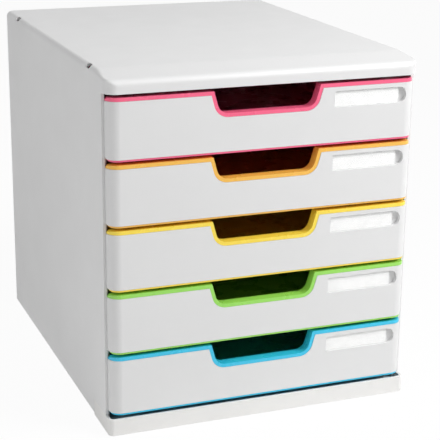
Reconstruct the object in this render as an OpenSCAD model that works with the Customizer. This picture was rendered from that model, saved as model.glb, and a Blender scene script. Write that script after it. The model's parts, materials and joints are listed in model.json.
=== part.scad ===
// Plastic drawer tower: a grey casing with a stack of coloured pull-out trays.
// Frame: +Z up, the drawer fronts face -Y, +X is the right-hand side seen from the front.
// Origin: middle of the footprint, on the surface that the tower stands on.
// Drawers are counted from the top.

/* [Tower] */
// Outside width of the casing
tower_w = 288; // [260:1:340]
// Outside depth, from the cornice to the back edge
tower_d = 360; // [320:1:420]
// Number of drawers
drawer_count = 5; // [2:1:6]

/* [Casing] */
// Thickness of the moulded walls
wall_t = 2.6; // [2:0.1:3.4]
// Radius of the long edges between the top and the sides
top_edge_r = 5; // [4:0.5:8]
// Radius of the upright edges at the back
back_edge_r = 3; // [1:0.5:5]
// Radius of the upright corners of the cornice
cornice_corner_r = 11; // [6:0.5:14]
// Radius of the upright corners of the plinth
plinth_corner_r = 5; // [4:0.5:14]
// Height of the cornice above the top drawer
cornice_h = 16.5; // [11:0.5:20]
// Height of the upright face at the foot of the cornice
cornice_face_h = 6; // [3:0.5:9]
// Height of the rounded nose over that face
nose_h = 5.5; // [3:0.5:7]
// Depth of the rounded nose
nose_run = 5; // [3:0.5:7]
// How far back the slope of the cornice runs
cornice_run = 34; // [16:1:40]
// How far the slope eases into the flat top, before and behind its end
cornice_ease = 5; // [2:0.5:8]
// Height of the plinth below the bottom drawer
plinth_h = 15.5; // [15:0.5:26]
// Length of the plinth's returns along the sides
plinth_return = 49; // [30:1:80]
// Gap between the side walls and the surface that the tower stands on
side_lift = 2.4; // [1.5:0.1:4]

/* [Link slots] */
// Length of each slot in the rounded edge between the top and a side
slot_l = 11; // [6:0.5:14]
// Width of each slot, across the rounded edge
slot_h = 5; // [3:0.2:6]
// How far a slot's middle lies below the top of the casing
slot_drop = 1.2; // [1.2:0.1:2.5]
// Distance from the cornice to the middle of the front slots
slot_front = 53; // [40:1:70]
// Distance from the back edge to the middle of the rear slots
slot_back = 48; // [30:1:80]

/* [Base and back] */
// Thickness of the base panel
base_t = 2.5; // [2:0.1:4]
// Height of the base panel's underside
base_z = 6.5; // [5.5:0.5:8]
// Thickness of the stiffening ribs under the base panel
base_rib_t = 2; // [1.5:0.1:3]
// Distance of the long ribs from the middle
base_rib_x = 70; // [40:1:100]
// Thickness of the back panel
back_t = 2.5; // [2:0.1:4]
// How far the back panel lies in front of the casing's back edge
back_inset = 1; // [0.5:0.1:3]
// Width of the back panel's raised border
back_border = 14; // [8:1:30]
// Depth of the shallow field inside that border
back_field = 0.8; // [0.4:0.1:1.2]
// Length of a rear foot
foot_l = 26; // [16:1:40]
// Width of a rear foot
foot_w = 14; // [8:1:24]
// Radius of a rear foot's corners
foot_r = 3; // [1:0.5:4]
// Distance from the outside of the casing to a rear foot
foot_inset = 14; // [10:1:40]

/* [Runners] */
// Thickness of the runner racks
rack_t = 1.6; // [1.2:0.1:2.4]
// Gap between the closed drawer fronts and the racks
rack_front_gap = 2.4; // [1.5:0.1:4]
// Gap between the racks and the back panel
rack_back_gap = 2.5; // [1:0.5:5]
// Width of the ledges that carry the trays
ledge_w = 7; // [6:0.5:10]
// Thickness of the ledges
ledge_t = 2; // [1.5:0.1:3]
// Width of the guides over the rims
guide_w = 5; // [4:0.5:6]
// Thickness of the guides
guide_t = 1.6; // [1.2:0.1:2.4]
// Length of the guides
guide_l = 110; // [60:1:140]
// Height of the rack above its top guide
rack_top_margin = 3; // [1:0.5:5]
// How far the front stops stand out of the rack
stop_w = 2.1; // [1.5:0.1:3]
// Length of the front stops
stop_l = 12; // [6:1:20]
// Length of the rear stops
rear_stop_l = 4; // [2:0.5:5]

/* [Drawers] */
// Height of one drawer front
front_h = 54; // [50:0.5:80]
// Gap above and below a drawer front
front_gap = 3; // [1.5:0.1:4]
// How far the ends of a drawer front lie inside the casing's sides
front_inset = 2.2; // [0.8:0.1:2.5]
// Gap between the closed drawer fronts and the front edges of the side walls
closed_gap = 0.3; // [0.3:0.1:1]
// How far the closed fronts lie behind the cornice
front_setback = 1; // [0.5:0.1:2]
// Radius of a drawer front's corners, seen from the front
front_r = 4; // [2:0.5:6]
// Radius of a drawer front's rounded ends, seen from above
end_r = 11; // [9:0.5:15]
// Depth from a front plate's face to the tray's front wall
pan_depth = 8.4; // [7:0.1:11]
// Thickness of the front plate
plate_t = 1.8; // [1.4:0.1:2.4]
// Radius of the front plate's corners, seen from the front
plate_r = 1.4; // [0.5:0.1:3]
// Height of the coloured rim over the front plate
rim_top = 3.2; // [1.6:0.1:4]
// Height of the coloured rim under the front plate
rim_bottom = 1.5; // [1:0.1:2]
// How far the coloured rim lies behind the face of the plate
rim_setback = 0.4; // [0.2:0.1:0.8]
// Clearance between the plate and the rim
plate_clear = 0.15; // [0.1:0.05:0.3]

/* [Trays] */
// Thickness of the tray's side and back walls
tray_wall = 2; // [1.5:0.1:3]
// Thickness of the tray's floor
floor_t = 2; // [1.5:0.1:3]
// Thickness of the tray's front wall behind the plate
tray_front_t = 1.8; // [1.4:0.1:3]
// Radius of the tray's lower edges
tray_edge_r = 5; // [3.5:0.5:8]
// How far the tray's floor lies above the bottom of its front
tray_lift = 2; // [1.5:0.5:4]
// How far the tray's rim lies below the top of its front
rim_drop = 9.5; // [8:0.5:14]
// Thickness of the rim that slides on the ledges
rim_t = 2; // [1.5:0.1:3]
// How far the back wall lies below the rim
back_wall_drop = 6; // [0:0.5:12]
// Room between a closed tray and the back panel
tray_back_room = 8.5; // [7.5:0.5:14]
// Length of the ears that meet the front stops
ear_l = 20; // [10:1:30]
// Length of tray that stays in the racks when it is fully open
kept_inside = 84.4; // [50:0.1:120]

/* [Finger notch] */
// Half of the notch's width at the top of the front
notch_top_half = 49; // [40:1:60]
// Depth of the notch below the top of the front
notch_depth = 19.3; // [15:0.1:24]
// Lean of the notch's sides from the upright, in degrees
notch_lean = 16; // [5:1:30]
// Radius of the notch's lower corners
notch_r = 10; // [6:0.5:14]

/* [Label] */
// Width of the label
label_w = 62.5; // [40:0.5:80]
// Height of the label
label_h = 14.2; // [10:0.1:20]
// Distance from the end of the drawer front to the label
label_end_gap = 16.8; // [13:0.1:24]
// Distance from the top of the drawer front to the label
label_drop = 6.9; // [5:0.1:10]
// Depth of the label pocket
pocket_depth = 2.4; // [1.8:0.1:3]
// Material around and behind the pocket
pocket_wall = 2; // [1.4:0.1:2.6]
// Radius of the thumb recess at the end of the label
thumb_r = 7; // [5:0.1:8]
// Depth of the thumb recess
thumb_depth = 3.4; // [2.8:0.1:3.8]
// How far the thumb recess reaches behind the label
thumb_under = 1; // [0.5:0.5:3]
// Thickness of the paper label
label_t = 0.5; // [0.3:0.1:0.6]
// Thickness of the clear window over it
window_t = 0.8; // [0.5:0.1:1]
// Clearance around the label and its window
label_clear = 0.1; // [0.05:0.05:0.3]

/* [Running clearances] */
// Gap above the ledges, beside the ears and before the stops
slide_clear = 0.3; // [0.2:0.05:0.5]
// Gap between a tray's wall and the edge of the ledges
ledge_gap = 0.6; // [0.4:0.1:1]
// Gap between a tray's rim and the guide over it
guide_clear = 0.6; // [0.3:0.1:1]

/* [Colours] */
// Casing
casing_colour = "#dadadb";
// Drawer fronts
plate_colour = "#e2e2e3";
// Feet
foot_colour = "#4a4a4c";
// Label
label_colour = "#fbfbf8";
// Trays, from the top
tray_colours = ["#f4638a", "#f5b13a", "#fbd52c", "#8edb3c", "#29bfe6"];

/* [Hidden] */
$fn = 64;
// Steps in each curve of the cornice
cornice_steps = 8;
// How far a cutting shape runs past what it cuts
past = 1;

// Levels
pitch = front_h + front_gap;
tower_h = plinth_h + front_gap + drawer_count * pitch + cornice_h;
cornice_z = tower_h - cornice_h;
base_top = base_z + base_t;
// The bottom of drawer front i, counted from 0 at the top
function front_z(i) = plinth_h + front_gap + (drawer_count - 1 - i) * pitch;
// Heights in one drawer, above the bottom of its front
rim_z = front_h - rim_drop;
ledge_top = rim_z - rim_t - slide_clear;
guide_z = rim_z + guide_clear;
rack_h = front_z(0) + guide_z + guide_t + rack_top_margin - base_top;

// Places across the tower, measured from the middle
half_w = tower_w / 2;
inside_x = half_w - wall_t;
rack_x = inside_x - rack_t;
ear_x = rack_x - slide_clear;
stop_x = rack_x - stop_w;
rim_x = stop_x - slide_clear;
ledge_x = rack_x - ledge_w;
tray_x = ledge_x - ledge_gap;
front_x = half_w - front_inset;

// Places along the tower, from the front to the back
front_y = -tower_d / 2;
back_y = tower_d / 2;
face_y = front_y + front_setback;
pan_y = face_y + pan_depth;
tray_front_y = pan_y + tray_front_t;
wall_y = tray_front_y + closed_gap;
rack_front_y = tray_front_y + rack_front_gap;
panel_y = back_y - back_inset - back_t;
rack_back_y = panel_y - rack_back_gap;
tray_back_y = panel_y - tray_back_room;
plinth_back_y = front_y + plinth_return;
foot_back_y = panel_y - foot_inset;
cross_rib_y = foot_back_y - foot_l - foot_inset;
travel = tray_back_y - rack_front_y - kept_inside;
ear_y = tray_back_y - ear_l;
stop_y = ear_y - travel - slide_clear;

// Label
label_x = front_x - label_end_gap - label_w;
label_z = front_h - label_drop - label_h;
pocket_y = face_y + pocket_depth;
boss_back_y = pocket_y + pocket_wall;

// Names of the pieces
function drawer_node(i, piece) = str("drawer_", i + 1, "_", piece);
drawers = [0:drawer_count - 1];

// ---- Shared shapes ----

// A rectangle from lo to hi; r gives the corner radii, anticlockwise from lo
module rounded_rect(lo, hi, r) {
    corners = [lo, [hi[0], lo[1]], hi, [lo[0], hi[1]]];
    inward = [[1, 1], [-1, 1], [-1, -1], [1, -1]];
    difference() {
        translate(lo) square(hi - lo);
        for (k = [0:3]) if (r[k] > 0) translate(corners[k]) opening_along(inward[k]) difference() {
            translate([-past, -past]) square(r[k] + past);
            translate([r[k], r[k]]) circle(r[k]);
        }
    }
}

// Mirrors a shape drawn in the first quadrant into the quadrant of the two signs
module opening_along(signs) {
    mirror([signs[0] < 0 ? 1 : 0, 0]) mirror([0, signs[1] < 0 ? 1 : 0]) children();
}

// Extrudes a shape drawn in X and Z from y0 to y1
module along_y(y0, y1) {
    translate([0, y1, 0]) rotate([90, 0, 0]) linear_extrude(y1 - y0) children();
}

// Extrudes a shape drawn in Y and Z from x0 to x1
module along_x(x0, x1) {
    translate([x0, 0, 0]) rotate([90, 0, 90]) linear_extrude(x1 - x0) children();
}

module block(lo, hi) {
    translate(lo) cube(hi - lo);
}

// Repeats what is drawn for the right-hand side on the left
module both_sides() {
    children();
    mirror([1, 0, 0]) children();
}

// ---- Casing ----

// The casing seen from the front, drawn inset by a wall
module casing_section(inset) {
    r = max(top_edge_r - inset, 0);
    rounded_rect([-half_w + inset, -past], [half_w - inset, tower_h - inset], [0, 0, r, r]);
}

// The casing seen from above, drawn inset by a wall, with this radius at its front corners
module casing_plan(inset, corner_r) {
    r1 = max(corner_r - inset, 0);
    r2 = max(back_edge_r - inset, 0);
    rounded_rect([-half_w + inset, front_y + inset], [half_w - inset, back_y - inset], [r1, r1, r2, r2]);
}

// The hollow under the top seen from above; it runs out at the back
module hollow_plan() {
    r = max(cornice_corner_r - wall_t, 0);
    rounded_rect([-inside_x, front_y + wall_t], [inside_x, back_y + past], [r, r, 0, 0]);
}

// Rise of the nose, limited so that the cornice still slopes up to the top behind it
nose_rise = min(nose_h, cornice_h - cornice_face_h - 1);
// How far the slope of the cornice has dropped, this far in front of its end
cornice_slope = (cornice_h - cornice_face_h - nose_rise) / cornice_run;
function slope_drop(ahead) = cornice_slope
    * (ahead > cornice_ease ? ahead : pow(max(ahead + cornice_ease, 0), 2) / (4 * cornice_ease));
// The curve of the cornice, from its upright face to the flat top, inset by a wall
function cornice_curve(inset) = [for (point = concat(
        [for (k = [0:cornice_steps]) let (a = 90 * k / cornice_steps)
            [nose_run * (1 - cos(a)), nose_rise * (1 - sin(a))]],
        [for (k = [0:cornice_steps]) [cornice_run - cornice_ease * (1 - 2 * k / cornice_steps), 0]]))
    [front_y + inset + point[0], tower_h - inset - point[1] - slope_drop(cornice_run - point[0])]];

module casing_shell() {
    color(casing_colour) difference() {
        intersection() {
            along_y(front_y, back_y) casing_section(0);
            linear_extrude(tower_h) casing_plan(0, cornice_corner_r);
            along_x(-half_w, half_w) polygon(concat(
                [[front_y, cornice_z]], cornice_curve(0),
                [[back_y, tower_h], [back_y, side_lift], [plinth_back_y, side_lift],
                 [plinth_back_y, plinth_h], [wall_y, plinth_h], [wall_y, cornice_z]]));
        }
        // The space for the drawers, open at the front, the back and the bottom
        block([-inside_x, front_y - past, -past], [inside_x, back_y + past, cornice_z]);
        // The hollow under the top, which follows the cornice and its rounded corners
        intersection() {
            along_y(front_y, back_y + past) casing_section(wall_t);
            translate([0, 0, cornice_z - past]) linear_extrude(tower_h) hollow_plan();
            along_x(-inside_x, inside_x) polygon(concat(
                [[front_y + wall_t, cornice_z - past]],
                cornice_curve(wall_t),
                [[back_y + past, tower_h - wall_t], [back_y + past, cornice_z - past]]));
        }
        both_sides() for (y = [front_y + slot_front, back_y - slot_back]) translate([0, y, 0]) slot_cut();
    }
}

// The space of a link slot: it runs out through the middle of the rounded edge, square to its surface
module slot_cut() {
    lean = acos(1 - slot_drop / top_edge_r);
    translate([half_w - top_edge_r, 0, tower_h - top_edge_r]) rotate([0, lean - 90, 0])
        block([0, -slot_l / 2, -slot_h / 2], [top_edge_r + past, slot_l / 2, slot_h / 2]);
}

module back_panel() {
    color(casing_colour) difference() {
        intersection() {
            along_y(panel_y, panel_y + back_t) casing_section(wall_t);
            block([-inside_x, panel_y, side_lift], [inside_x, back_y, tower_h]);
        }
        along_y(panel_y + back_t - back_field, back_y) rounded_rect(
            [-inside_x + back_border, side_lift + back_border],
            [inside_x - back_border, tower_h - wall_t - back_border],
            [top_edge_r, top_edge_r, top_edge_r, top_edge_r]);
    }
}

module base_panel() {
    inner_front_y = front_y + wall_t;
    color(casing_colour) {
        intersection() {
            translate([0, 0, base_z]) linear_extrude(base_t) casing_plan(wall_t, plinth_corner_r);
            block([-inside_x, inner_front_y, 0], [inside_x, panel_y, tower_h]);
        }
        both_sides() {
            block([base_rib_x, inner_front_y, side_lift],
                  [base_rib_x + base_rib_t, cross_rib_y + base_rib_t, base_top]);
            translate([0, 0, side_lift]) linear_extrude(base_top - side_lift) foot_outline();
        }
        block([-inside_x, cross_rib_y, side_lift], [inside_x, cross_rib_y + base_rib_t, base_top]);
    }
}

module plinth() {
    color(casing_colour) linear_extrude(plinth_h) intersection() {
        difference() {
            casing_plan(0, plinth_corner_r);
            casing_plan(wall_t, plinth_corner_r);
        }
        translate([-half_w, front_y]) square([tower_w, plinth_return]);
    }
}

module foot_outline() {
    x = half_w - foot_inset;
    rounded_rect([x - foot_w, foot_back_y - foot_l], [x, foot_back_y], [foot_r, foot_r, foot_r, foot_r]);
}

module rear_feet() {
    color(foot_colour) both_sides() linear_extrude(side_lift) foot_outline();
}

// ---- Runner racks ----

module rack() {
    block([rack_x, rack_front_y, base_top], [inside_x, rack_back_y, base_top + rack_h]);
    for (i = drawers) translate([0, 0, front_z(i)]) {
        block([ledge_x, rack_front_y, ledge_top - ledge_t], [inside_x, rack_back_y, ledge_top]);
        block([rack_x - guide_w, rack_front_y, guide_z],
              [inside_x, rack_front_y + guide_l, guide_z + guide_t]);
        block([stop_x, stop_y - stop_l, ledge_top - ledge_t], [inside_x, stop_y, guide_z + guide_t]);
        block([ledge_x, tray_back_y + slide_clear, ledge_top - ledge_t],
              [inside_x, tray_back_y + slide_clear + rear_stop_l, rim_z]);
    }
}

module right_rack() {
    color(casing_colour) rack();
}

module left_rack() {
    color(casing_colour) mirror([1, 0, 0]) rack();
}

// ---- Drawers ----

// A drawer front seen from above, with ends that curve back to the side walls
module front_plan(inset, back) {
    r = end_r - inset;
    rounded_rect([-front_x + inset, face_y + inset], [front_x - inset, back], [r, r, 0, 0]);
}

// The finger notch seen from the front, grown on all sides
module notch(grow) {
    fillet_z = front_h - notch_depth + notch_r;
    slope = tan(notch_lean);
    // The fillet's centre, set so that the side meets the top at notch_top_half
    fillet_x = notch_top_half - notch_r / cos(notch_lean) - (front_h - fillet_z) * slope;
    r = notch_r + grow;
    top = front_h + past;
    touch = [fillet_x + r * cos(notch_lean), fillet_z - r * sin(notch_lean)];
    top_half = touch[0] + (top - touch[1]) * slope;
    polygon([[-fillet_x, fillet_z - r], [fillet_x, fillet_z - r], touch, [top_half, top],
             [-top_half, top], [-touch[0], touch[1]]]);
    for (side = [-1, 1]) translate([side * fillet_x, fillet_z]) circle(r);
}

// The front of the tray as seen from the front
module front_outline() {
    difference() {
        rounded_rect([-front_x, 0], [front_x, front_h], [front_r, front_r, front_r, front_r]);
        notch(0);
    }
}

// The space inside the coloured rim, seen from the front; it runs out at both ends
module rim_opening(clear, end_x, r) {
    difference() {
        rounded_rect([-end_x, rim_bottom + clear], [end_x, front_h - rim_top - clear], [r, r, r, r]);
        notch(rim_top + clear);
    }
}

// The tray's section between two levels, inset by its wall
module tray_section(inset, bottom, top) {
    r = tray_edge_r - inset;
    rounded_rect([-tray_x + inset, bottom], [tray_x - inset, top], [r, r, 0, 0]);
}

module tray(i) {
    color(tray_colours[i % len(tray_colours)]) translate([0, 0, front_z(i)]) {
        // The front wall, with a rim that frames the plate; the plate's rounded ends grip its ends
        difference() {
            intersection() {
                along_y(face_y, tray_front_y) front_outline();
                linear_extrude(front_h) front_plan(rim_setback, tray_front_y);
            }
            along_y(face_y - past, pan_y) rim_opening(0, half_w, 0);
            difference() {
                block([-half_w, pan_y - past, rim_bottom], [half_w, tray_front_y + past, front_h - rim_top]);
                linear_extrude(front_h) plate_hollow();
            }
        }
        // The box behind it
        difference() {
            along_y(pan_y, tray_back_y) tray_section(0, tray_lift, rim_z);
            along_y(pan_y - past, tray_back_y - tray_wall)
                tray_section(tray_wall, tray_lift + floor_t, rim_z + past);
            block([-tray_x + tray_wall, tray_back_y - tray_wall - past, rim_z - back_wall_drop],
                  [tray_x - tray_wall, tray_back_y + past, rim_z + past]);
        }
        // The rims that slide on the ledges, with the ears that stop the drawer
        both_sides() {
            block([tray_x - tray_wall, pan_y, rim_z - rim_t], [rim_x, tray_back_y, rim_z]);
            block([tray_x - tray_wall, ear_y, rim_z - rim_t], [ear_x, tray_back_y, rim_z]);
        }
    }
}

module front_plate(i) {
    color(plate_colour) translate([0, 0, front_z(i)]) difference() {
        intersection() {
            along_y(face_y - past, tray_front_y) rim_opening(plate_clear, front_x, plate_r);
            linear_extrude(front_h) front_plan(0, tray_front_y);
            union() {
                difference() {
                    block([-half_w, face_y - past, 0], [half_w, tray_front_y + past, front_h]);
                    translate([0, 0, -past]) linear_extrude(front_h + 2 * past) plate_hollow();
                }
                // The boss behind the face, for the label pocket
                block([label_x - pocket_wall, face_y + plate_t / 2, label_z - pocket_wall],
                      [label_x + label_w + thumb_r + pocket_wall, boss_back_y,
                       label_z + label_h + pocket_wall]);
            }
        }
        block([label_x, face_y - past, label_z], [label_x + label_w, pocket_y, label_z + label_h]);
        along_y(face_y - past, face_y + thumb_depth) thumb_recess();
    }
}

// The hollow behind the plate, open at the back
module plate_hollow() {
    r = end_r - plate_t;
    rounded_rect([-front_x + plate_t, face_y + plate_t], [front_x - plate_t, tray_front_y + 2 * past],
                 [r, r, 0, 0]);
}

// A half disc at the right-hand end of the label, which reaches a little way behind it
module thumb_recess() {
    translate([label_x + label_w, label_z + label_h / 2]) intersection() {
        circle(thumb_r);
        translate([-thumb_under, -thumb_r]) square(2 * thumb_r);
    }
}

// A flat piece in the label pocket, from its floor forwards
module pocket_piece(i, y, thickness) {
    translate([0, 0, front_z(i)])
        block([label_x + label_clear, y - thickness, label_z + label_clear],
              [label_x + label_w - label_clear, y, label_z + label_h - label_clear]);
}

module label(i) {
    color(label_colour) pocket_piece(i, pocket_y, label_t);
}

module window(i) {
    color(label_colour, 0.3) pocket_piece(i, pocket_y - label_t, window_t);
}

casing_shell();
back_panel();
base_panel();
plinth();
left_rack();
right_rack();
rear_feet();
for (i = drawers) {
    tray(i);
    front_plate(i);
    label(i);
    window(i);
}
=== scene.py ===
"""Plastic drawer tower: shells, trays, front plates and labels around the packed model, in a plain studio."""

import json
import math

import bmesh
import bpy
from mathutils import Matrix, Vector

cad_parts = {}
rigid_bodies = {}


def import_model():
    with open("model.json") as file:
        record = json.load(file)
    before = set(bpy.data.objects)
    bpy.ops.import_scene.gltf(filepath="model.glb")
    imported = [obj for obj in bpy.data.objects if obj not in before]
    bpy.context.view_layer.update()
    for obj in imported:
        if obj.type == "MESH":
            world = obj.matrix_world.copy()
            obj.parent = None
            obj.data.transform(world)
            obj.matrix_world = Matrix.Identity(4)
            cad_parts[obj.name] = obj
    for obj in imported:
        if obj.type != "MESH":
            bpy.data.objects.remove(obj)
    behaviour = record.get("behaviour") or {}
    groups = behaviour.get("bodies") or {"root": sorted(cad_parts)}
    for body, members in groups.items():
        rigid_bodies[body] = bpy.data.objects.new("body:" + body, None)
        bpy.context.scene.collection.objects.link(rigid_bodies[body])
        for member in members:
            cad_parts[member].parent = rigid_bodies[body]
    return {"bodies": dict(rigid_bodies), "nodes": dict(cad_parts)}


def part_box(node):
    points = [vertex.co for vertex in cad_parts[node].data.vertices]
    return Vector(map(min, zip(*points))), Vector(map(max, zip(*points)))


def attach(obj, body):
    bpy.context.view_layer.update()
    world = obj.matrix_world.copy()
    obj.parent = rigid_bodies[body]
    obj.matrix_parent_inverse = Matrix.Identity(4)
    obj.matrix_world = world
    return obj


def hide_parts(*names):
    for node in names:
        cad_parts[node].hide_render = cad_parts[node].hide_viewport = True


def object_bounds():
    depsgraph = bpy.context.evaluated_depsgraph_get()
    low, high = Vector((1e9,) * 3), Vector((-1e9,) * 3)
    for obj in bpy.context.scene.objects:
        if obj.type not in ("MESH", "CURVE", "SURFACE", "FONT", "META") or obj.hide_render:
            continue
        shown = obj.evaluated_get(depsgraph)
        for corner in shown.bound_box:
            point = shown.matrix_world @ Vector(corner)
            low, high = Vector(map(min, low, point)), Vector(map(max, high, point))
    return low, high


bl_info = {
    "name": "Drawer tower",
    "version": (1, 0, 0),
    "blender": (4, 5, 0),
    "location": "3D View > Sidebar > Drawer tower",
    "description": "Builds the shells, trays, fronts and labels of a plastic drawer tower in a plain studio",
    "category": "Object",
}

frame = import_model()
CAD_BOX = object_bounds()

DRAWERS = sorted(body for body in frame["bodies"] if body.startswith("drawer_"))
PAST = 0.001  # how far a cutting shape runs past what it cuts
HAIR = 0.00001  # keeps the end of a cutting shape off the face that it would lie in


# ---- Sizes and finishes that a user may change ----

def length(name, default, description):
    """A size in metres."""
    return bpy.props.FloatProperty(
        name=name, description=description, default=default, min=0.0, unit="LENGTH", precision=5)


def angle(name, default, description):
    """An angle, given in degrees and kept in radians."""
    return bpy.props.FloatProperty(
        name=name, description=description, default=math.radians(default), subtype="ANGLE")


def amount(name, default, description):
    """A plain number."""
    return bpy.props.FloatProperty(name=name, description=description, default=default, min=0.0, precision=4)


def colour(name, default, description):
    """A colour, written as it shows on a screen."""
    return bpy.props.FloatVectorProperty(
        name=name, description=description, default=[part / 255 for part in default],
        size=3, min=0.0, max=1.0, subtype="COLOR_GAMMA")


def place(name, default, description):
    """A place in the tower's frame, in metres."""
    return bpy.props.FloatVectorProperty(
        name=name, description=description, default=default, subtype="TRANSLATION", unit="LENGTH")


class CasingSizes(bpy.types.PropertyGroup):
    """Sizes of the casing's shell, plinth and back panel"""
    wall: length("Wall", 0.0026, "Thickness of the moulded walls")
    top_r: length("Top edge radius", 0.005, "Radius of the long edges between the top and the sides")
    crease_r: length("Cornice edge radius", 0.0016, "Radius between the cornice and the sides, at its front")
    back_r: length("Back edge radius", 0.003, "Radius of the upright edges at the back")
    corner_r: length("Cornice corner radius", 0.011, "Radius of the upright corners of the cornice")
    plinth_r: length("Plinth corner radius", 0.005, "Radius of the upright corners of the plinth")
    cornice_h: length("Cornice height", 0.0165, "Height of the cornice above the top drawer")
    cornice_face_h: length("Cornice face", 0.006, "Height of the upright face at the foot of the cornice")
    nose_h: length("Nose height", 0.0055, "Height of the rounded nose over that face")
    nose_run: length("Nose depth", 0.005, "Depth of the rounded nose")
    cornice_run: length("Cornice run", 0.034, "How far back the slope of the cornice runs")
    cornice_ease: length(
        "Cornice ease", 0.005, "How far the slope eases into the flat top, on both sides of its end")
    closed_gap: length(
        "Closed gap", 0.0003, "Gap between the closed fronts and the front edges of the side walls")
    slot_l: length("Slot length", 0.011, "Length of the link slots in the rounded edges of the top")
    slot_h: length("Slot width", 0.005, "Width of the link slots, across the rounded edge")
    slot_r: length("Slot corner", 0.002, "Radius of the link slots' corners")
    slot_drop: length("Slot drop", 0.0012, "How far the middle of the slots lies below the top")
    slot_front: length("Front slots", 0.053, "Distance from the cornice to the front slots")
    slot_back: length("Rear slots", 0.048, "Distance from the back edge to the rear slots")
    border: length("Back border", 0.014, "Width of the back panel's raised border")
    field: length("Back field", 0.0008, "Depth of the back panel's shallow field")
    soft: length("Soft edge", 0.0006, "Radius of the moulded edges")
    back_soft: length("Back soft edge", 0.00036, "Radius of the back panel's edges")


class DrawerSizes(bpy.types.PropertyGroup):
    """Sizes of the trays, their front plates and their labels"""
    end_r: length("End radius", 0.011, "Radius of a drawer front's rounded ends, seen from above")
    pan_depth: length("Pan depth", 0.0084, "Depth from a plate's face to the tray's front wall")
    plate_t: length("Plate thickness", 0.0018, "Thickness of the front plate")
    plate_r: length("Plate corner", 0.0014, "Radius of the plate's corners, seen from the front")
    front_r: length("Front corner", 0.004, "Radius of the tray front's corners, seen from the front")
    front_t: length("Tray front", 0.0018, "Thickness of the tray's front wall behind the plate")
    rim_top: length("Top rim", 0.0032, "Height of the coloured rim over the plate and round the notch")
    rim_bottom: length("Bottom rim", 0.0015, "Height of the coloured rim under the plate")
    rim_setback: length("Rim setback", 0.0004, "How far the coloured rim lies behind the plate's face")
    clear: length("Plate clearance", 0.00015, "Clearance between the plate and the rim")
    notch_half: length("Notch half width", 0.049, "Half of the notch's width at the top")
    notch_depth: length("Notch depth", 0.0193, "Depth of the finger notch")
    notch_lean: angle("Notch lean", 16, "Lean of the notch's sides from the upright")
    notch_r: length("Notch radius", 0.010, "Radius of the notch's lower corners")
    pocket_wall: length("Pocket wall", 0.002, "Material around and behind the label pocket")
    thumb_r: length("Thumb radius", 0.007, "Radius of the thumb recess at the end of the label")
    thumb_depth: length("Thumb depth", 0.0034, "Depth of the thumb recess")
    thumb_under: length("Thumb reach", 0.001, "How far the thumb recess reaches behind the label")
    label_clear: length("Label clearance", 0.0001, "Clearance around the label and its window")
    label_r: length("Label corner", 0.0005, "Radius of the corners of the label and its window")
    window_lift: length("Window lift", 0.00005, "Air between the label and the window over it")
    ledge_gap: length("Ledge gap", 0.0006, "Gap between a tray's wall and the ledges that carry its rims")
    tray_wall: length("Tray wall", 0.002, "Thickness of the tray's side and back walls")
    tray_floor: length("Tray floor", 0.002, "Thickness of the tray's floor")
    tray_r: length("Tray edge", 0.005, "Radius of the tray's lower edges")
    tray_lift: length("Tray lift", 0.002, "How far the tray's floor lies above the bottom of its front")
    rim_drop: length("Rim drop", 0.0095, "How far the tray's rim lies below the top of its front")
    rim_t: length("Rim thickness", 0.002, "Thickness of the rims that slide on the ledges")
    rim_out: length("Rim width", 0.0052, "How far the rims stand out of the tray's walls")
    ear_out: length("Ear width", 0.0073, "How far the ears stand out of the tray's walls")
    ear_l: length("Ear length", 0.020, "Length of the ears at the back of the rims")
    back_drop: length("Back wall drop", 0.006, "How far the back wall lies below the rims")
    soft: length("Soft edge", 0.0004, "Radius of the moulded edges")


class Finishes(bpy.types.PropertyGroup):
    """Colours and roughness of the materials"""
    casing: colour("Casing", (228, 228, 228), "Light grey of the casing")
    plinth: colour("Plinth", (234, 233, 231), "Slightly warmer grey of the plinth")
    plate: colour("Front plates", (226, 226, 226), "Light grey of the front plates")
    pink: colour("Pink", (251, 102, 140), "Tray of the top drawer")
    orange: colour("Orange", (248, 190, 78), "Tray of the second drawer")
    yellow: colour("Yellow", (254, 225, 76), "Tray of the third drawer")
    green: colour("Green", (155, 225, 94), "Tray of the fourth drawer")
    blue: colour("Blue", (52, 198, 235), "Tray of the bottom drawer")
    paper: colour("Label", (254, 254, 253), "White card of the labels")
    rubber: colour("Feet", (74, 74, 76), "Dark grey of the feet")
    satin: amount("Satin roughness", 0.42, "Roughness of the grey plastic")
    gloss: amount("Gloss roughness", 0.28, "Roughness of the coloured plastic")


class StudioSizes(bpy.types.PropertyGroup):
    """Camera, lights and floor"""
    azimuth: angle("Azimuth", -21.280, "Camera's place round the tower; 0 looks at the fronts")
    elevation: angle("Elevation", 17.316, "Camera's height above the horizon")
    roll: angle("Roll", 0.680, "Camera's turn about its own axis")
    distance: length("Distance", 1.3679, "From the camera to its target")
    target: place("Target", (0.02693, 0.0, 0.12812), "Point that the camera looks at")
    focal: amount("Focal length", 111.23, "Camera's focal length in millimetres, on a 36 mm sensor")
    floor: length("Floor", 12.0, "Side of the floor")
    floor_glow: amount("Floor glow", 0.95, "Share of the floor's white that is its own, which no shadow dims")
    world: amount("Room light", 0.18, "Strength of the even light from all around")
    key: amount("Key light", 21.7, "Power of the lamp at the upper right, in watts")
    key_place: place("Key place", (0.9, -0.82, 1.18), "Middle of the key lamp")
    key_size: length("Key size", 0.7, "Side of the key lamp")
    fill: amount("Fill light", 18.6, "Power of the lamp at the left, in watts")
    fill_place: place("Fill place", (-2.1, -0.85, 1.4), "Middle of the fill lamp")
    fill_size: length("Fill size", 1.4, "Side of the fill lamp")


# ---- Outlines and meshes ----

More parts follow.
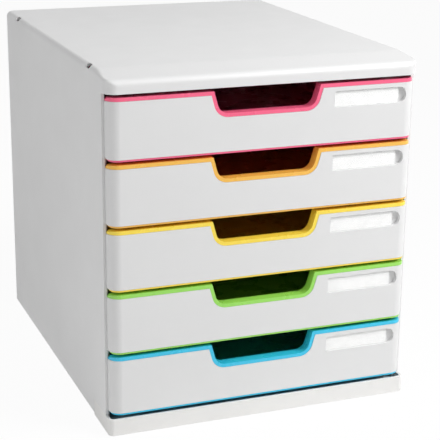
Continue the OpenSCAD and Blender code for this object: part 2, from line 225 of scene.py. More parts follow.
SAME_POINT = 2e-6  # points nearer than this become one
SAME_PLANE = math.radians(0.6)  # faces that turn less than this become one
BEVELLED = math.radians(35)  # edges that turn more than this are rounded
CREASED = math.radians(32)  # edges that turn more than this stay sharp in the shading
BEVEL_STEPS = 2
SHEET_SOFT = 1 / 6  # radius of a thin sheet's edges, as a share of its thickness


def arc(centre, radius, first, last, steps):
    """Points along an arc, from the first angle to the last, in degrees."""
    turns = [math.radians(first + (last - first) * k / steps) for k in range(steps + 1)]
    return [(centre[0] + radius * math.cos(t), centre[1] + radius * math.sin(t)) for t in turns]


def rounded(low, high, radii, steps=6):
    """A rectangle's outline, anticlockwise from its low corner, with a radius for each corner."""
    corners = [(low[0], low[1], 1, 1), (high[0], low[1], -1, 1),
               (high[0], high[1], -1, -1), (low[0], high[1], 1, -1)]
    points = []
    for k, ((x, y, across, up), r) in enumerate(zip(corners, radii)):
        start = 180 + 90 * k
        points += arc((x + across * r, y + up * r), r, start, start + 90, steps) if r > 0 else [(x, y)]
    return points


PLACES = {
    "x": lambda point, height: (height, point[0], point[1]),
    "y": lambda point, height: (point[0], height, point[1]),
    "z": lambda point, height: (point[0], point[1], height),
}


def prism(outline, along, low, high):
    """A closed prism on a flat outline, along one of the axes."""
    mesh = bmesh.new()
    ends = [[mesh.verts.new(PLACES[along](point, height)) for point in outline] for height in (low, high)]
    for end in ends:
        mesh.faces.new(end)
    for k in range(len(outline)):
        mesh.faces.new((ends[0][k - 1], ends[0][k], ends[1][k], ends[1][k - 1]))
    bmesh.ops.recalc_face_normals(mesh, faces=mesh.faces)
    return mesh


def block(low, high):
    """A closed box between two corners."""
    return prism(rounded(low[:2], high[:2], (0, 0, 0, 0)), "z", low[2], high[2])


def mirrored(points):
    """The outline seen in a mirror across the tower's middle."""
    return [(-x, y) for x, y in reversed(points)]


def wall_outline(outer, inner):
    """The outline of a wall between two right-hand halves, which goes on in the mirror."""
    return mirrored(outer) + outer + list(reversed(mirrored(inner) + inner))


def scratch(mesh):
    """A working object that holds the mesh."""
    data = bpy.data.meshes.new("scratch")
    mesh.to_mesh(data)
    mesh.free()
    thing = bpy.data.objects.new("scratch", data)
    bpy.context.scene.collection.objects.link(thing)
    return thing


def taken(thing):
    """The object's mesh with its modifiers applied; the object is removed."""
    seen = thing.evaluated_get(bpy.context.evaluated_depsgraph_get())
    mesh = bmesh.new()
    mesh.from_mesh(seen.to_mesh())
    seen.to_mesh_clear()
    data = thing.data
    bpy.data.objects.remove(thing)
    bpy.data.meshes.remove(data)
    return mesh


def combined(mesh, operation, *others):
    """The mesh joined with, cut by or limited to the others, one after another."""
    for other in others:
        work, tool = scratch(mesh), scratch(other)
        modifier = work.modifiers.new(operation, "BOOLEAN")
        modifier.operation = operation
        modifier.solver = "EXACT"
        modifier.object = tool
        mesh = taken(work)
        data = tool.data
        bpy.data.objects.remove(tool)
        bpy.data.meshes.remove(data)
    if not mesh.faces:
        raise RuntimeError("a joined or cut mesh came out empty")
    return mesh


def joined(mesh, *others):
    """The mesh with the others added to it."""
    return combined(mesh, "UNION", *others)


def cut(mesh, *others):
    """The mesh without the space of the others."""
    return combined(mesh, "DIFFERENCE", *others)


def limited(mesh, *others):
    """What the mesh has in common with the others."""
    return combined(mesh, "INTERSECT", *others)


def tidied(mesh):
    """Joins points that coincide and faces that lie in one plane."""
    bmesh.ops.remove_doubles(mesh, verts=mesh.verts, dist=SAME_POINT)
    bmesh.ops.dissolve_limit(
        mesh, angle_limit=SAME_PLANE, verts=mesh.verts, edges=mesh.edges, delimit={"NORMAL"})
    return mesh


def softened(mesh, radius):
    """Rounds the sharp edges, and marks the middle of each rounding for a lighter tone: scuffing from use and
    a painted highlight.
    """
    thing = scratch(mesh)
    for _ in ("moulded faces", "rounded edges"):
        thing.data.materials.append(None)
    bevel = thing.modifiers.new("rounding", "BEVEL")
    bevel.width = radius
    bevel.segments = BEVEL_STEPS
    bevel.limit_method = "ANGLE"
    bevel.angle_limit = BEVELLED
    bevel.miter_outer = "MITER_ARC"
    bevel.use_clamp_overlap = True
    bevel.material = 1
    mesh = taken(thing)
    # Marks the roundings that take a lighter tone: scuffing and a painted highlight.
    scuff_and_highlight = mesh.verts.layers.float.new("edge_scuff_and_highlight")
    for vert in mesh.verts:
        vert[scuff_and_highlight] = float(all(face.material_index == 1 for face in vert.link_faces))
    for face in mesh.faces:
        face.material_index = 0
    return mesh


def piece(name, mesh, material, slot, body, *nodes):
    """A finished piece: smooth between its creases, in its material, on its body, in place of its nodes."""
    data = bpy.data.meshes.new(name)
    for face in mesh.faces:
        face.smooth = True
    mesh.to_mesh(data)
    mesh.free()
    data.set_sharp_from_angle(angle=CREASED)
    data.materials.append(material)
    thing = bpy.data.objects.new(name, data)
    bpy.context.scene.collection.objects.link(thing)
    weighted = thing.modifiers.new("flat faces stay flat", "WEIGHTED_NORMAL")
    weighted.keep_sharp = True
    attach(thing, body)
    if nodes:
        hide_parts(*nodes)


# ---- Materials ----

WHITE = (1.0, 1.0, 1.0, 1.0)
POLYSTYRENE_IOR = 1.59
ACRYLIC_IOR = 1.49
EDGE_SCUFF_AND_HIGHLIGHT = 0.35  # how far a rounded edge takes on its lighter tone: scuffing and a painted highlight
CLOUDING = 0.05  # how far the roughness of the plastic varies
MIX_INPUTS, MIX_OUTPUT = (0, 6, 7), 2  # the Mix node's factor, its two colours and their blend


def linear(shown):
    """A screen colour as the linear colour that a shader takes."""
    parts = [p / 12.92 if p <= 0.04045 else ((p + 0.055) / 1.055) ** 2.4 for p in shown]
    return (*parts, 1.0)


def shaded(base, factor):
    """A linear colour, lighter or darker."""
    return (*[min(part * factor, 1.0) for part in base[:3]], 1.0)


class Nodes:
    """A short way to lay out the nodes of a material or of the room."""

    def __init__(self, owner, output="ShaderNodeOutputMaterial"):
        self.owner = owner
        owner.use_nodes = True
        self.tree = owner.node_tree
        self.tree.nodes.clear()
        self.output = self.add(output)

    def add(self, kind, settings=None, **inputs):
        """A node with its settings and its inputs, which are values or other nodes' outputs."""
        node = self.tree.nodes.new(kind)
        for key, value in (settings or {}).items():
            setattr(node, key, value)
        for key, value in inputs.items():
            self.feed(node, key.replace("_", " "), value)
        return node

    def feed(self, node, socket, value):
        """Sets an input, by its name or place, or links another node's output to it."""
        if isinstance(value, bpy.types.NodeSocket):
            self.tree.links.new(value, node.inputs[socket])
        else:
            node.inputs[socket].default_value = value

    def noise(self, scale, detail, stretch=None):
        """Noise in the object's own metres: its scale, its detail and its stretch along each axis."""
        point = self.add("ShaderNodeTexCoord").outputs["Object"]
        if stretch:
            point = self.add("ShaderNodeMapping", Vector=point, Scale=stretch).outputs["Vector"]
        return self.add("ShaderNodeTexNoise", Vector=point, Scale=scale, Detail=detail).outputs["Fac"]

    def marks(self, scale, detail, span, becomes, stretch=None):
        """Noise whose span of values becomes another span."""
        node = self.add("ShaderNodeMapRange", Value=self.noise(scale, detail, stretch))
        for socket, number in zip(("From Min", "From Max", "To Min", "To Max"), (*span, *becomes)):
            node.inputs[socket].default_value = number
        return node.outputs["Result"]

    def relief(self, scale, detail, strength, depth, over=None):
        """A normal that noise raises by up to a depth, over another normal if there is one."""
        node = self.add(
            "ShaderNodeBump", Height=self.noise(scale, detail), Strength=strength, Distance=depth)
        if over is not None:
            self.feed(node, "Normal", over)
        return node.outputs["Normal"]

    def blended(self, factor, first, second):
        """A colour between two."""
        node = self.add("ShaderNodeMix", {"data_type": "RGBA"})
        for index, value in zip(MIX_INPUTS, (factor, first, second)):
            self.feed(node, index, value)
        return node.outputs[MIX_OUTPUT]

    def reckoned(self, operation, first, second):
        """Two numbers put together."""
        node = self.add("ShaderNodeMath", {"operation": operation})
        self.feed(node, 0, first)
        self.feed(node, 1, second)
        return node.outputs["Value"]

    def either(self, factor, first, second):
        """A shader between two."""
        node = self.add("ShaderNodeMixShader", Fac=factor)
        self.feed(node, 1, first)
        self.feed(node, 2, second)
        return node.outputs["Shader"]

    def finished(self, **inputs):
        """The material, with a plain shader that takes these inputs."""
        shader = self.add("ShaderNodeBsdfPrincipled", **inputs)
        self.feed(self.output, "Surface", shader.outputs["BSDF"])
        return self.owner


def moulded_plastic(name, shown, roughness):
    """Moulded polystyrene: faint flow marks, a fine grain, rounded edges lighter from scuffing and a painted
    highlight, and a few handling marks.
    """
    made = bpy.data.materials.get(name)
    if made:
        return made
    nodes = Nodes(bpy.data.materials.new(name))
    base = linear(shown)
    flow = nodes.marks(scale=7.0, detail=3.0, stretch=(1.0, 0.6, 2.2), span=(0.3, 0.7), becomes=(0.0, 1.0))
    tone = nodes.blended(flow, shaded(base, 0.985), shaded(base, 1.012))
    speckle = nodes.marks(scale=900.0, detail=1.0, span=(0.35, 0.65), becomes=(0.0, 0.35))
    tone = nodes.blended(speckle, tone, shaded(base, 0.982))
    # Rounded edges take a lighter tone, partly scuffing and partly a painted highlight.
    edge_scuff_and_highlight_mask = nodes.add("ShaderNodeAttribute", {"attribute_name": "edge_scuff_and_highlight"}).outputs["Fac"]
    patches = nodes.marks(scale=55.0, detail=3.0, span=(0.42, 0.62), becomes=(0.25, 1.0))
    scuffed_and_highlighted = nodes.reckoned("MULTIPLY", edge_scuff_and_highlight_mask, patches)
    tone = nodes.blended(nodes.reckoned("MULTIPLY", scuffed_and_highlighted, EDGE_SCUFF_AND_HIGHLIGHT), tone, shaded(base, 1.12))
    cloudy = nodes.marks(
        scale=38.0, detail=4.0, span=(0.3, 0.7), becomes=(roughness - CLOUDING, roughness + CLOUDING))
    rubs = nodes.marks(
        scale=24.0, detail=5.0, stretch=(1.0, 9.0, 9.0), span=(0.60, 0.72), becomes=(0.0, 0.06))
    grain = nodes.relief(scale=2600.0, detail=1.0, strength=0.05, depth=0.0002)
    return nodes.finished(
        Base_Color=tone, Roughness=nodes.reckoned("ADD", cloudy, rubs), IOR=POLYSTYRENE_IOR,
        Normal=nodes.relief(scale=16.0, detail=1.0, strength=0.06, depth=0.002, over=grain))


def label_card(name, shown):
    """White card with a faint fibre."""
    nodes = Nodes(bpy.data.materials.new(name))
    base = linear(shown)
    fibre = nodes.marks(
        scale=700.0, detail=4.0, stretch=(1.0, 1.0, 0.4), span=(0.35, 0.65), becomes=(0.0, 1.0))
    return nodes.finished(
        Base_Color=nodes.blended(fibre, shaded(base, 0.985), base), Roughness=0.85,
        Normal=nodes.relief(scale=900.0, detail=3.0, strength=0.08, depth=0.0001))


def clear_window(name):
    """Clear plastic over the label, with a slight haze and smears of handling."""
    nodes = Nodes(bpy.data.materials.new(name))
    haze = nodes.marks(scale=60.0, detail=4.0, span=(0.3, 0.7), becomes=(0.05, 0.10))
    smears = nodes.marks(scale=90.0, detail=3.0, span=(0.3, 0.7), becomes=(0.08, 0.2))
    tone = nodes.blended(haze, (0.93, 0.94, 0.95, 1.0), WHITE)
    return nodes.finished(Base_Color=tone, Roughness=smears, Alpha=haze, IOR=ACRYLIC_IOR)


def soft_rubber(name, shown):
    """Matt rubber with a fine tooth and a little dust."""
    nodes = Nodes(bpy.data.materials.new(name))
    base = linear(shown)
    dust = nodes.marks(scale=120.0, detail=4.0, span=(0.45, 0.7), becomes=(0.0, 0.5))
    return nodes.finished(
        Base_Color=nodes.blended(dust, base, shaded(base, 2.2)), Roughness=0.8,
        Normal=nodes.relief(scale=2400.0, detail=2.0, strength=0.25, depth=0.0002))


def casing_plastic():
    """The plastic of the shell, the back panel and the inner parts."""
    finish = bpy.context.scene.tower_finishes
    return moulded_plastic("casing_plastic", finish.casing, finish.satin)


def finish_node(node, material):
    """Gives a packed node that stays in view its material."""
    thing = frame["nodes"][node]
    thing.data.materials.clear()
    thing.data.materials.append(material)


# ---- Casing ----

CURVE_STEPS = 12  # sections through a quarter turn of the nose; the corners take half as many
EASE_STEPS = 4  # sections on each side of the end of the slope
FLAT_STEPS = 6  # spans of the flat top behind the plinth
EDGE_STEPS = 6  # steps round the edge between the top and the side
TOP_SHARES = (0.66, 0.33)  # where the flat top is divided, as shares of its half width
SAME_DEPTH = 0.0001  # a section this much before a set depth still counts as there
NARROWEST = 0.00012  # strips between two sections are wider than this
LEAST_SLOPE = 0.001  # height that the nose leaves to the slope of the cornice


class Casing:
    """The casing's outer lines, from the packed shell's corners and the user's sizes."""

    def __init__(self):
        self.sizes = bpy.context.scene.tower_casing
        low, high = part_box("casing_shell")
        plinth_low, plinth_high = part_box("plinth")
        self.half, self.front, self.back = high.x, low.y, high.y
        self.top, self.bottom = high.z, low.z
        self.plinth_top, self.plinth_bottom = plinth_high.z, plinth_low.z
        self.plinth_back = plinth_high.y
        self.lip = self.top - self.sizes.cornice_h
        self.wall_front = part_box(f"{DRAWERS[0]}_front")[1].y + self.sizes.closed_gap

    def inset(self, y):
        """How far the plan's rounded corners draw the side in at this depth."""
        for edge, radius in ((y - self.front, self.sizes.corner_r), (self.back - y, self.sizes.back_r)):
            if edge < radius:
                return radius - math.sqrt(max(radius ** 2 - (radius - edge) ** 2, 0.0))
        return 0.0

    def height(self, y):
        """Height of the top at this depth: a rounded nose, a slope, then flat."""
        sizes = self.sizes
        depth, ease = y - self.front, sizes.cornice_ease
        ahead = sizes.cornice_run - depth
        eased = ahead if ahead > ease else max(ahead + ease, 0.0) ** 2 / (4 * ease)
        nose = min(sizes.nose_h, sizes.cornice_h - sizes.cornice_face_h - LEAST_SLOPE)
        slope = (sizes.cornice_h - sizes.cornice_face_h - nose) / sizes.cornice_run
        before = 1.0 - min(depth / sizes.nose_run, 1.0)
        return self.top - slope * eased - nose * (1.0 - math.sqrt(1.0 - before ** 2))

    def edge_radius(self, y):
        """Radius between the top and the side, which grows from the cornice backwards."""
        share = min((y - self.front) / self.sizes.cornice_run, 1.0)
        smooth = share * share * (3 - 2 * share)
        return self.sizes.crease_r + (self.sizes.top_r - self.sizes.crease_r) * smooth

    def stations(self):
        """The depths at which the shell's section is drawn."""
        sizes = self.sizes
        turns = [math.radians(90 * k / CURVE_STEPS) for k in range(CURVE_STEPS + 1)]
        depths = [self.front + sizes.nose_run * (1 - math.cos(t)) for t in turns]
        depths += [self.front + sizes.corner_r * (1 - math.cos(t)) for t in turns[::2]]
        crest = self.front + sizes.cornice_run
        depths += [crest + sizes.cornice_ease * (k / EASE_STEPS - 1) for k in range(2 * EASE_STEPS + 1)]
        depths += [self.back - sizes.back_r * (1 - math.cos(t)) for t in turns[::2]]
        kept = {self.wall_front, self.plinth_back}
        depths = [y for y in depths if all(abs(y - fixed) > 2 * SAME_DEPTH for fixed in kept)]
        flat = self.back - sizes.back_r - self.plinth_back
        depths += [self.plinth_back + flat * k / FLAT_STEPS for k in range(1, FLAT_STEPS)]
        ordered = sorted(kept.union(depths))
        return [y for y, before in zip(ordered, [-math.inf] + ordered)
                if y - before > NARROWEST or y in kept]

    def section(self, y):
        """The right-hand half of the section at this depth, from its foot up and in to the middle."""
        x = self.half - self.inset(y)
        r, top = self.edge_radius(y), self.height(y)
        upright = [(x, z) for z in (self.bottom, self.plinth_top, self.lip)]
        across = [((x - r) * share, top) for share in TOP_SHARES]
        return upright + arc((x - r, top - r), r, 0, 90, EDGE_STEPS) + across


def shell_sheet(casing):
    """The shell's outer surface as one sheet, without the space in front of the side walls."""
    mesh = bmesh.new()
    stations = casing.stations()
    # Where the strips beside the plinth, those up to the cornice's lip and those above it start.
    starts = (casing.plinth_back, casing.wall_front, -math.inf)
    rows = []
    for y in stations:
        half = casing.section(y)
        across = half + mirrored(half)
        rows.append([mesh.verts.new((x, y, z)) for x, z in across])
    count = len(rows[0])
    for y, row, after in zip(stations, rows, rows[1:]):
        for k in range(count - 1):
            level = min(k, count - 2 - k, 2)
            if y > starts[level] - SAME_DEPTH:
                mesh.faces.new((row[k], row[k + 1], after[k + 1], after[k]))
    mesh.faces.new(rows[0][2:count - 2])  # the cornice's upright face
    bmesh.ops.delete(mesh, geom=[vert for vert in mesh.verts if not vert.link_faces], context="VERTS")
    bmesh.ops.recalc_face_normals(mesh, faces=mesh.faces)
    top_face = max(mesh.faces, key=lambda item: item.calc_center_median().z)
    if top_face.normal.z < 0:
        bmesh.ops.reverse_faces(mesh, faces=mesh.faces)
    return mesh


def slot_cutters(casing):
    """The link slots through the rounded edges of the top, square to their surface."""
    sizes = casing.sizes
    lean = math.acos(1 - sizes.slot_drop / sizes.top_r)
    half = Vector((sizes.slot_h / 2, sizes.slot_l / 2))
    for side in (-1, 1):
        for y in (casing.front + sizes.slot_front, casing.back - sizes.slot_back):
            outline = rounded(-half, half, (sizes.slot_r,) * 4, steps=4)
            mesh = prism(outline, "z", 0.0, sizes.top_r + PAST)
            centre = Matrix.Translation((side * (casing.half - sizes.top_r), y, casing.top - sizes.top_r))
            mesh.transform(centre @ Matrix.Rotation(side * lean, 4, "Y"))
            yield mesh


class TOWER_OT_shell(bpy.types.Operator):
    """Builds the casing's shell: the top with its cornice, and the two side walls"""
    bl_idname = "tower.shell"
    bl_label = "Build the shell"

    def execute(self, context):
        casing = Casing()
        thing = scratch(shell_sheet(casing))
        wall = thing.modifiers.new("wall", "SOLIDIFY")
        wall.thickness = casing.sizes.wall
        wall.offset = -1.0
        wall.use_even_offset = True
        wall.use_quality_normals = True
        mesh = cut(taken(thing), *slot_cutters(casing))
        mesh = softened(tidied(mesh), casing.sizes.soft)
        piece("casing_shell_moulding", mesh, casing_plastic(), "casing_grey", "casing", "casing_shell")
        return {"FINISHED"}


class TOWER_OT_plinth(bpy.types.Operator):
    """Builds the plinth: a skirt across the front with two short returns"""
    bl_idname = "tower.plinth"
    bl_label = "Build the plinth"

    def execute(self, context):
        casing = Casing()
        wall, r = casing.sizes.wall, casing.sizes.plinth_r

        def half_ring(inset):
            x, y = casing.half - inset, casing.front + inset
            bend = r - inset
            return [*arc((x - bend, y + bend), bend, -90, 0, steps=10), (x, casing.plinth_back)]

        outline = wall_outline(half_ring(0), half_ring(wall))
        mesh = prism(outline, "z", casing.plinth_bottom, casing.plinth_top)
        mesh = softened(tidied(mesh), casing.sizes.soft)
        finish = context.scene.tower_finishes
        material = moulded_plastic("plinth_plastic", finish.plinth, finish.satin)
        piece("plinth_skirt", mesh, material, "casing_grey", "casing", "plinth")
        return {"FINISHED"}


class TOWER_OT_back(bpy.types.Operator):
    """Builds the back panel with its shallow field"""
    bl_idname = "tower.back"
    bl_label = "Build the back panel"

    def execute(self, context):
        casing = Casing()
        sizes = casing.sizes
        low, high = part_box("back_panel")
        r = sizes.top_r - sizes.wall
        mesh = prism(rounded((low.x, low.z), (high.x, high.z), (0, 0, r, r)), "y", low.y, high.y)
        border = sizes.border
        field = rounded(
            (low.x + border, low.z + border), (high.x - border, high.z - border), (sizes.top_r,) * 4)
        mesh = cut(mesh, prism(field, "y", high.y - sizes.field, high.y + PAST))
        mesh = softened(tidied(mesh), sizes.back_soft)
        piece("back_panel_moulding", mesh, casing_plastic(), "casing_grey", "casing", "back_panel")
        return {"FINISHED"}


class TOWER_OT_inner_parts(bpy.types.Operator):
    """Finishes the packed base panel, runner racks and feet, which keep their shapes"""
    bl_idname = "tower.inner_parts"
    bl_label = "Finish the inner parts"

    def execute(self, context):
        for node in ("base_panel", "left_rack", "right_rack"):
            finish_node(node, casing_plastic())
        finish_node("rear_feet", soft_rubber("foot_rubber", context.scene.tower_finishes.rubber))
        return {"FINISHED"}


# ---- Drawers ----

class Drawer:
    """One drawer's places, from its packed nodes and the user's sizes."""

    def __init__(self, name):
        self.name = name
        self.sizes = bpy.context.scene.tower_drawer
        tray_low, tray_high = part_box(f"{name}_tray")
        plate_low, plate_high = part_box(f"{name}_front")
        label_low, label_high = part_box(f"{name}_label")
        clear = self.sizes.label_clear
        self.half, self.face = plate_high.x, plate_low.y
        self.z, self.top, self.back = tray_low.z, tray_high.z, tray_high.y
        self.pan = self.face + self.sizes.pan_depth
        self.box_front = self.pan + self.sizes.front_t
        self.box_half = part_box("right_rack")[0].x - self.sizes.ledge_gap
        self.label_low = (label_low.x - clear, label_low.z - clear)
        self.label_high = (label_high.x + clear, label_high.z + clear)
        self.pocket = label_high.y

    def notch(self, grow, front, back):
        """The space of the finger notch, grown on all sides and open at the top."""
        sizes = self.sizes
        lean, r = sizes.notch_lean, sizes.notch_r + grow
        centre_z = self.top - sizes.notch_depth + sizes.notch_r
        slope = math.tan(lean)
        centre_x = sizes.notch_half - sizes.notch_r / math.cos(lean) - (self.top - centre_z) * slope
        bend = arc((centre_x, centre_z), r, -90, -math.degrees(lean), steps=10)
        above = self.top + PAST
        right = bend + [(bend[-1][0] + (above - bend[-1][1]) * slope, above)]
        return prism(right + mirrored(right), "y", front, back)

    def plan(self, inset, back):
        """The right half of the front seen from above; its end curves back as far as it goes."""
        r, x, y = self.sizes.end_r - inset, self.half - inset, self.face + inset
        last = math.degrees(math.asin(min((back - y) / r - 1, 0)))
        return arc((x - r, y + r), r, -90, last, steps=12) + ([(x, back)] if back > y + r else [])


def rim_space(drawer):
    """The space inside the coloured rim; past the ends of the front wall it runs out at the back."""
    sizes = drawer.sizes
    end, back = drawer.half + PAST, drawer.box_front + PAST
    inside = [point for point in drawer.plan(sizes.plate_t, back) if point[1] > drawer.pan]
    right = [(end, drawer.face - PAST), (end, back), *reversed(inside), (inside[0][0], drawer.pan)]
    mesh = prism(mirrored(right) + right, "z", drawer.z + sizes.rim_bottom, drawer.top - sizes.rim_top)
    return cut(mesh, drawer.notch(sizes.rim_top, drawer.face - 2 * PAST, back + PAST))


def tray_front(drawer):
    """The tray's front wall with the coloured rim that frames the plate."""
    outline = rounded((-drawer.half, drawer.z), (drawer.half, drawer.top), (drawer.sizes.front_r,) * 4)
    mesh = prism(outline, "y", drawer.face, drawer.box_front)
    plan = drawer.plan(drawer.sizes.rim_setback, drawer.box_front + PAST)
    mesh = limited(mesh, prism(mirrored(plan) + plan, "z", drawer.z - PAST, drawer.top + PAST))
    notch = drawer.notch(0, drawer.face - PAST, drawer.box_front + PAST)
    return cut(mesh, notch, rim_space(drawer))


def tray_box(drawer):
    """The box behind the front wall, open towards it, with rounded lower edges and a lower back wall."""
    sizes, half = drawer.sizes, drawer.box_half
    wall, floor = sizes.tray_wall, drawer.z + sizes.tray_lift
    rim_z = drawer.top - sizes.rim_drop
    r = sizes.tray_r
    outside = rounded((-half, floor), (half, rim_z), (r, r, 0, 0))
    r -= wall
    inside = rounded((-half + wall, floor + sizes.tray_floor), (half - wall, rim_z + PAST), (r, r, 0, 0))
    low_back = block((-half + wall, drawer.back - wall - PAST, rim_z - sizes.back_drop),
                     (half - wall, drawer.back + PAST, rim_z + PAST))
    mesh = prism(outside, "y", drawer.pan + sizes.front_t / 2, drawer.back)
    return cut(mesh, prism(inside, "y", drawer.pan, drawer.back - wall), low_back)


def tray_rims(drawer):
    """The rims that slide on the ledges, with the ears that stop the drawer."""
    sizes = drawer.sizes
    rim_z = drawer.top - sizes.rim_drop
    inside = drawer.box_half - sizes.tray_wall / 2
    start = drawer.pan + sizes.front_t / 2
    for side in (-1, 1):
        for reach, front in ((sizes.rim_out, start), (sizes.ear_out, drawer.back - sizes.ear_l)):
            across = sorted((side * inside, side * (drawer.box_half + reach)))
            yield block((across[0], front, rim_z - sizes.rim_t), (across[1], drawer.back, rim_z))


def plate_face(drawer):
    """The plate's face with its returned ends, notched and framed by the coloured rim."""
    sizes, back = drawer.sizes, drawer.box_front
    outline = wall_outline(drawer.plan(0, back), drawer.plan(sizes.plate_t, back))
    mesh = prism(outline, "z", drawer.z - PAST, drawer.top + PAST)
    end = drawer.half + HAIR
    low, high = drawer.z + sizes.rim_bottom + sizes.clear, drawer.top - sizes.rim_top - sizes.clear
    corners = rounded((-end, low), (end, high), (sizes.plate_r,) * 4, steps=3)
    mesh = limited(mesh, prism(corners, "y", drawer.face - PAST, back + PAST))
    return cut(mesh, drawer.notch(sizes.rim_top + sizes.clear, drawer.face - PAST, back + PAST))


def plate_mesh(drawer):
    """The front plate: its face, the boss behind the label, the label's pocket and the thumb recess."""
    sizes = drawer.sizes
    wall, (left, low), (right, high) = sizes.pocket_wall, drawer.label_low, drawer.label_high
    boss = block((left - wall, drawer.face + sizes.plate_t / 2, low - wall),
                 (right + sizes.thumb_r + wall, drawer.pocket + wall, high + wall))
    pocket = block((left, drawer.face - PAST, low), (right, drawer.pocket, high))
    beyond = math.degrees(math.asin(sizes.thumb_under / sizes.thumb_r))
    recess = arc((right, (low + high) / 2), sizes.thumb_r, -90 - beyond, 90 + beyond, steps=20)
    recess = prism(recess, "y", drawer.face - PAST, drawer.face + sizes.thumb_depth)
    return cut(joined(plate_face(drawer), boss), pocket, recess)


class TOWER_OT_trays(bpy.types.Operator):
    """Builds the coloured trays, each with the rim that frames its front plate"""
    bl_idname = "tower.trays"
    bl_label = "Build the trays"

    def execute(self, context):
        finish = context.scene.tower_finishes
        for name, shade in zip(DRAWERS, ("pink", "orange", "yellow", "green", "blue")):
            drawer = Drawer(name)
            mesh = joined(tray_front(drawer), tray_box(drawer), *tray_rims(drawer))
            mesh = softened(tidied(mesh), drawer.sizes.soft)
            material = moulded_plastic(f"tray_plastic_{shade}", getattr(finish, shade), finish.gloss)
            piece(f"{name}_tray_moulding", mesh, material, f"tray_{shade}", name, f"{name}_tray")
        return {"FINISHED"}


class TOWER_OT_plates(bpy.types.Operator):
    """Builds the front plates with their finger notches and label pockets"""
    bl_idname = "tower.plates"
    bl_label = "Build the front plates"

    def execute(self, context):
        finish = context.scene.tower_finishes
        material = moulded_plastic("plate_plastic", finish.plate, finish.satin)
        for name in DRAWERS:
            drawer = Drawer(name)
            mesh = softened(tidied(plate_mesh(drawer)), drawer.sizes.soft)
            piece(f"{name}_front_plate", mesh, material, "front_grey", name, f"{name}_front")
        return {"FINISHED"}


class TOWER_OT_labels(bpy.types.Operator):
    """Builds the label cards and the clear windows over them"""
    bl_idname = "tower.labels"
    bl_label = "Build the labels"

    def execute(self, context):
        sizes = context.scene.tower_drawer
        card = label_card("label_card", context.scene.tower_finishes.paper)
        kinds = (("label", card, "label_paper", 0.0),
                 ("window", clear_window("label_clear"), "label_window", sizes.window_lift))
        for name in DRAWERS:
            for part, material, slot, lift in kinds:
                low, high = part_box(f"{name}_{part}")
                outline = rounded((low.x, low.z), (high.x, high.z), (sizes.label_r,) * 4, steps=3)
                mesh = softened(prism(outline, "y", low.y, high.y - lift), (high.y - low.y) * SHEET_SOFT)
                piece(f"{name}_{part}_sheet", mesh, material, slot, name, f"{name}_{part}")
        return {"FINISHED"}


# ---- Studio ----

FLOOR_TONES = (0.89, 0.92)  # the floor's darkest and lightest grey, as a shader takes it
FILM_WIDTH = 36.0  # of the camera, in millimetres
NEAR, FAR = 0.05, 50.0  # the nearest and farthest that the camera sees


def seen_directly(nodes):
    """1 for what the camera sees, also in gloss and through clear plastic; 0 for light on its way."""
    path = nodes.add("ShaderNodeLightPath").outputs
    either = nodes.reckoned("MAXIMUM", path["Is Camera Ray"], path["Is Glossy Ray"])
    return nodes.reckoned("MAXIMUM", either, path["Is Transmission Ray"])


def floor_material(glow):
    """Pale floor that shows white to the camera and keeps a soft shadow."""
    nodes = Nodes(bpy.data.materials.new("studio_floor"))
    darkest, lightest = ((tone, tone, tone, 1.0) for tone in FLOOR_TONES)
    tone = nodes.blended(nodes.noise(scale=3.0, detail=2.0), darkest, lightest)
    pale = nodes.add("ShaderNodeBsdfDiffuse", Color=tone)
    white = nodes.add("ShaderNodeEmission", Color=WHITE, Strength=1.0)
    share = nodes.reckoned("MULTIPLY", seen_directly(nodes), glow)
    mixed = nodes.either(share, pale.outputs["BSDF"], white.outputs["Emission"])
    nodes.feed(nodes.output, "Surface", mixed)
    return nodes.owner


def room_light(strength):
    """Even light from all around, which shows as white behind the tower."""
    nodes = Nodes(bpy.data.worlds.new("room"), "ShaderNodeOutputWorld")
    levels = [nodes.add("ShaderNodeBackground", Color=WHITE, Strength=level).outputs["Background"]
              for level in (strength, 1.0)]
    nodes.feed(nodes.output, "Surface", nodes.either(seen_directly(nodes), *levels))
    bpy.context.scene.world = nodes.owner


def lamp(name, spot, target, size, power):
    """A soft lamp at a spot, turned to its target."""
    data = bpy.data.lights.new(name, "AREA")
    data.shape = "SQUARE"
    data.size = size
    data.energy = power
    thing = bpy.data.objects.new(name, data)
    bpy.context.scene.collection.objects.link(thing)
    thing.location = spot
    thing.rotation_mode = "QUATERNION"
    thing.rotation_quaternion = (target - Vector(spot)).to_track_quat("-Z", "Y")


def camera(sizes):
    """The camera, turned round the tower and about its own axis."""
    turn, lift, roll = sizes.azimuth, sizes.elevation, sizes.roll
    back = Vector((math.sin(turn) * math.cos(lift), -math.cos(turn) * math.cos(lift), math.sin(lift)))
    level = Vector((math.cos(turn), math.sin(turn), 0.0))
    upright = back.cross(level)
    right = level * math.cos(roll) + upright * math.sin(roll)
    up = upright * math.cos(roll) - level * math.sin(roll)
    data = bpy.data.cameras.new("camera")
    data.sensor_width = FILM_WIDTH
    data.lens = sizes.focal
    data.clip_start, data.clip_end = NEAR, FAR
    thing = bpy.data.objects.new("camera", data)
    bpy.context.scene.collection.objects.link(thing)
    spot = Vector(sizes.target) + back * sizes.distance
    thing.matrix_world = Matrix.Translation(spot) @ Matrix((right, up, back)).transposed().to_4x4()
    bpy.context.scene.camera = thing


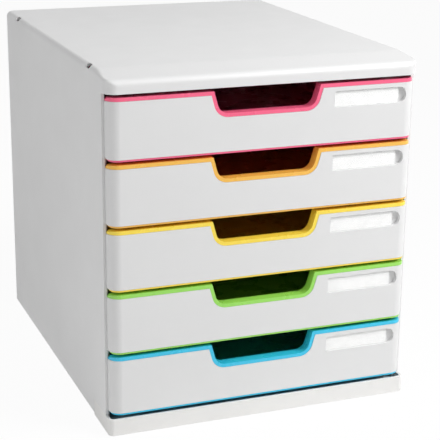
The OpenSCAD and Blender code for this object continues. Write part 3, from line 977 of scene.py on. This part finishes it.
class TOWER_OT_studio(bpy.types.Operator):
    """Sets up the floor, the lamps, the light of the room and the camera"""
    bl_idname = "tower.studio"
    bl_label = "Set up the studio"

    def execute(self, context):
        sizes = context.scene.tower_studio
        context.scene.view_settings.view_transform = "Standard"
        mesh = bmesh.new()
        bmesh.ops.create_grid(mesh, x_segments=8, y_segments=8, size=sizes.floor / 2)
        data = bpy.data.meshes.new("floor")
        mesh.to_mesh(data)
        mesh.free()
        data.materials.append(floor_material(sizes.floor_glow))
        floor = bpy.data.objects.new("floor", data)
        context.scene.collection.objects.link(floor)
        room_light(sizes.world)
        middle = (CAD_BOX[0] + CAD_BOX[1]) / 2
        lamp("key_lamp", sizes.key_place, middle, sizes.key_size, sizes.key)
        lamp("fill_lamp", sizes.fill_place, middle, sizes.fill_size, sizes.fill)
        camera(sizes)
        return {"FINISHED"}


# ---- The add-on ----

class TOWER_PT_panel(bpy.types.Panel):
    """Lists the steps that build the tower, and its sizes and finishes"""
    bl_idname = "TOWER_PT_panel"
    bl_label = "Drawer tower"
    bl_space_type = "VIEW_3D"
    bl_region_type = "UI"
    bl_category = "Drawer tower"

    def draw(self, context):
        for step in STEPS:
            self.layout.operator(step.bl_idname)
        for name in GROUPS:
            box = self.layout.box()
            group = getattr(context.scene, name)
            box.label(text=type(group).__doc__)
            for key in type(group).__annotations__:
                box.prop(group, key)


STEPS = (TOWER_OT_studio, TOWER_OT_shell, TOWER_OT_plinth, TOWER_OT_back, TOWER_OT_inner_parts,
         TOWER_OT_trays, TOWER_OT_plates, TOWER_OT_labels)
GROUPS = {
    "tower_casing": CasingSizes,
    "tower_drawer": DrawerSizes,
    "tower_finishes": Finishes,
    "tower_studio": StudioSizes,
}


def register():
    for kind in (*GROUPS.values(), *STEPS, TOWER_PT_panel):
        bpy.utils.register_class(kind)
    for name, group in GROUPS.items():
        setattr(bpy.types.Scene, name, bpy.props.PointerProperty(type=group))


def unregister():
    for name in GROUPS:
        delattr(bpy.types.Scene, name)
    for kind in (TOWER_PT_panel, *reversed(STEPS), *GROUPS.values()):
        bpy.utils.unregister_class(kind)


def build():
    """Builds the whole tower in its studio."""
    register()
    bpy.ops.tower.studio()
    bpy.ops.tower.shell()
    bpy.ops.tower.plinth()
    bpy.ops.tower.back()
    bpy.ops.tower.inner_parts()
    bpy.ops.tower.trays()
    bpy.ops.tower.plates()
    bpy.ops.tower.labels()


if __name__ == "__main__":
    build()
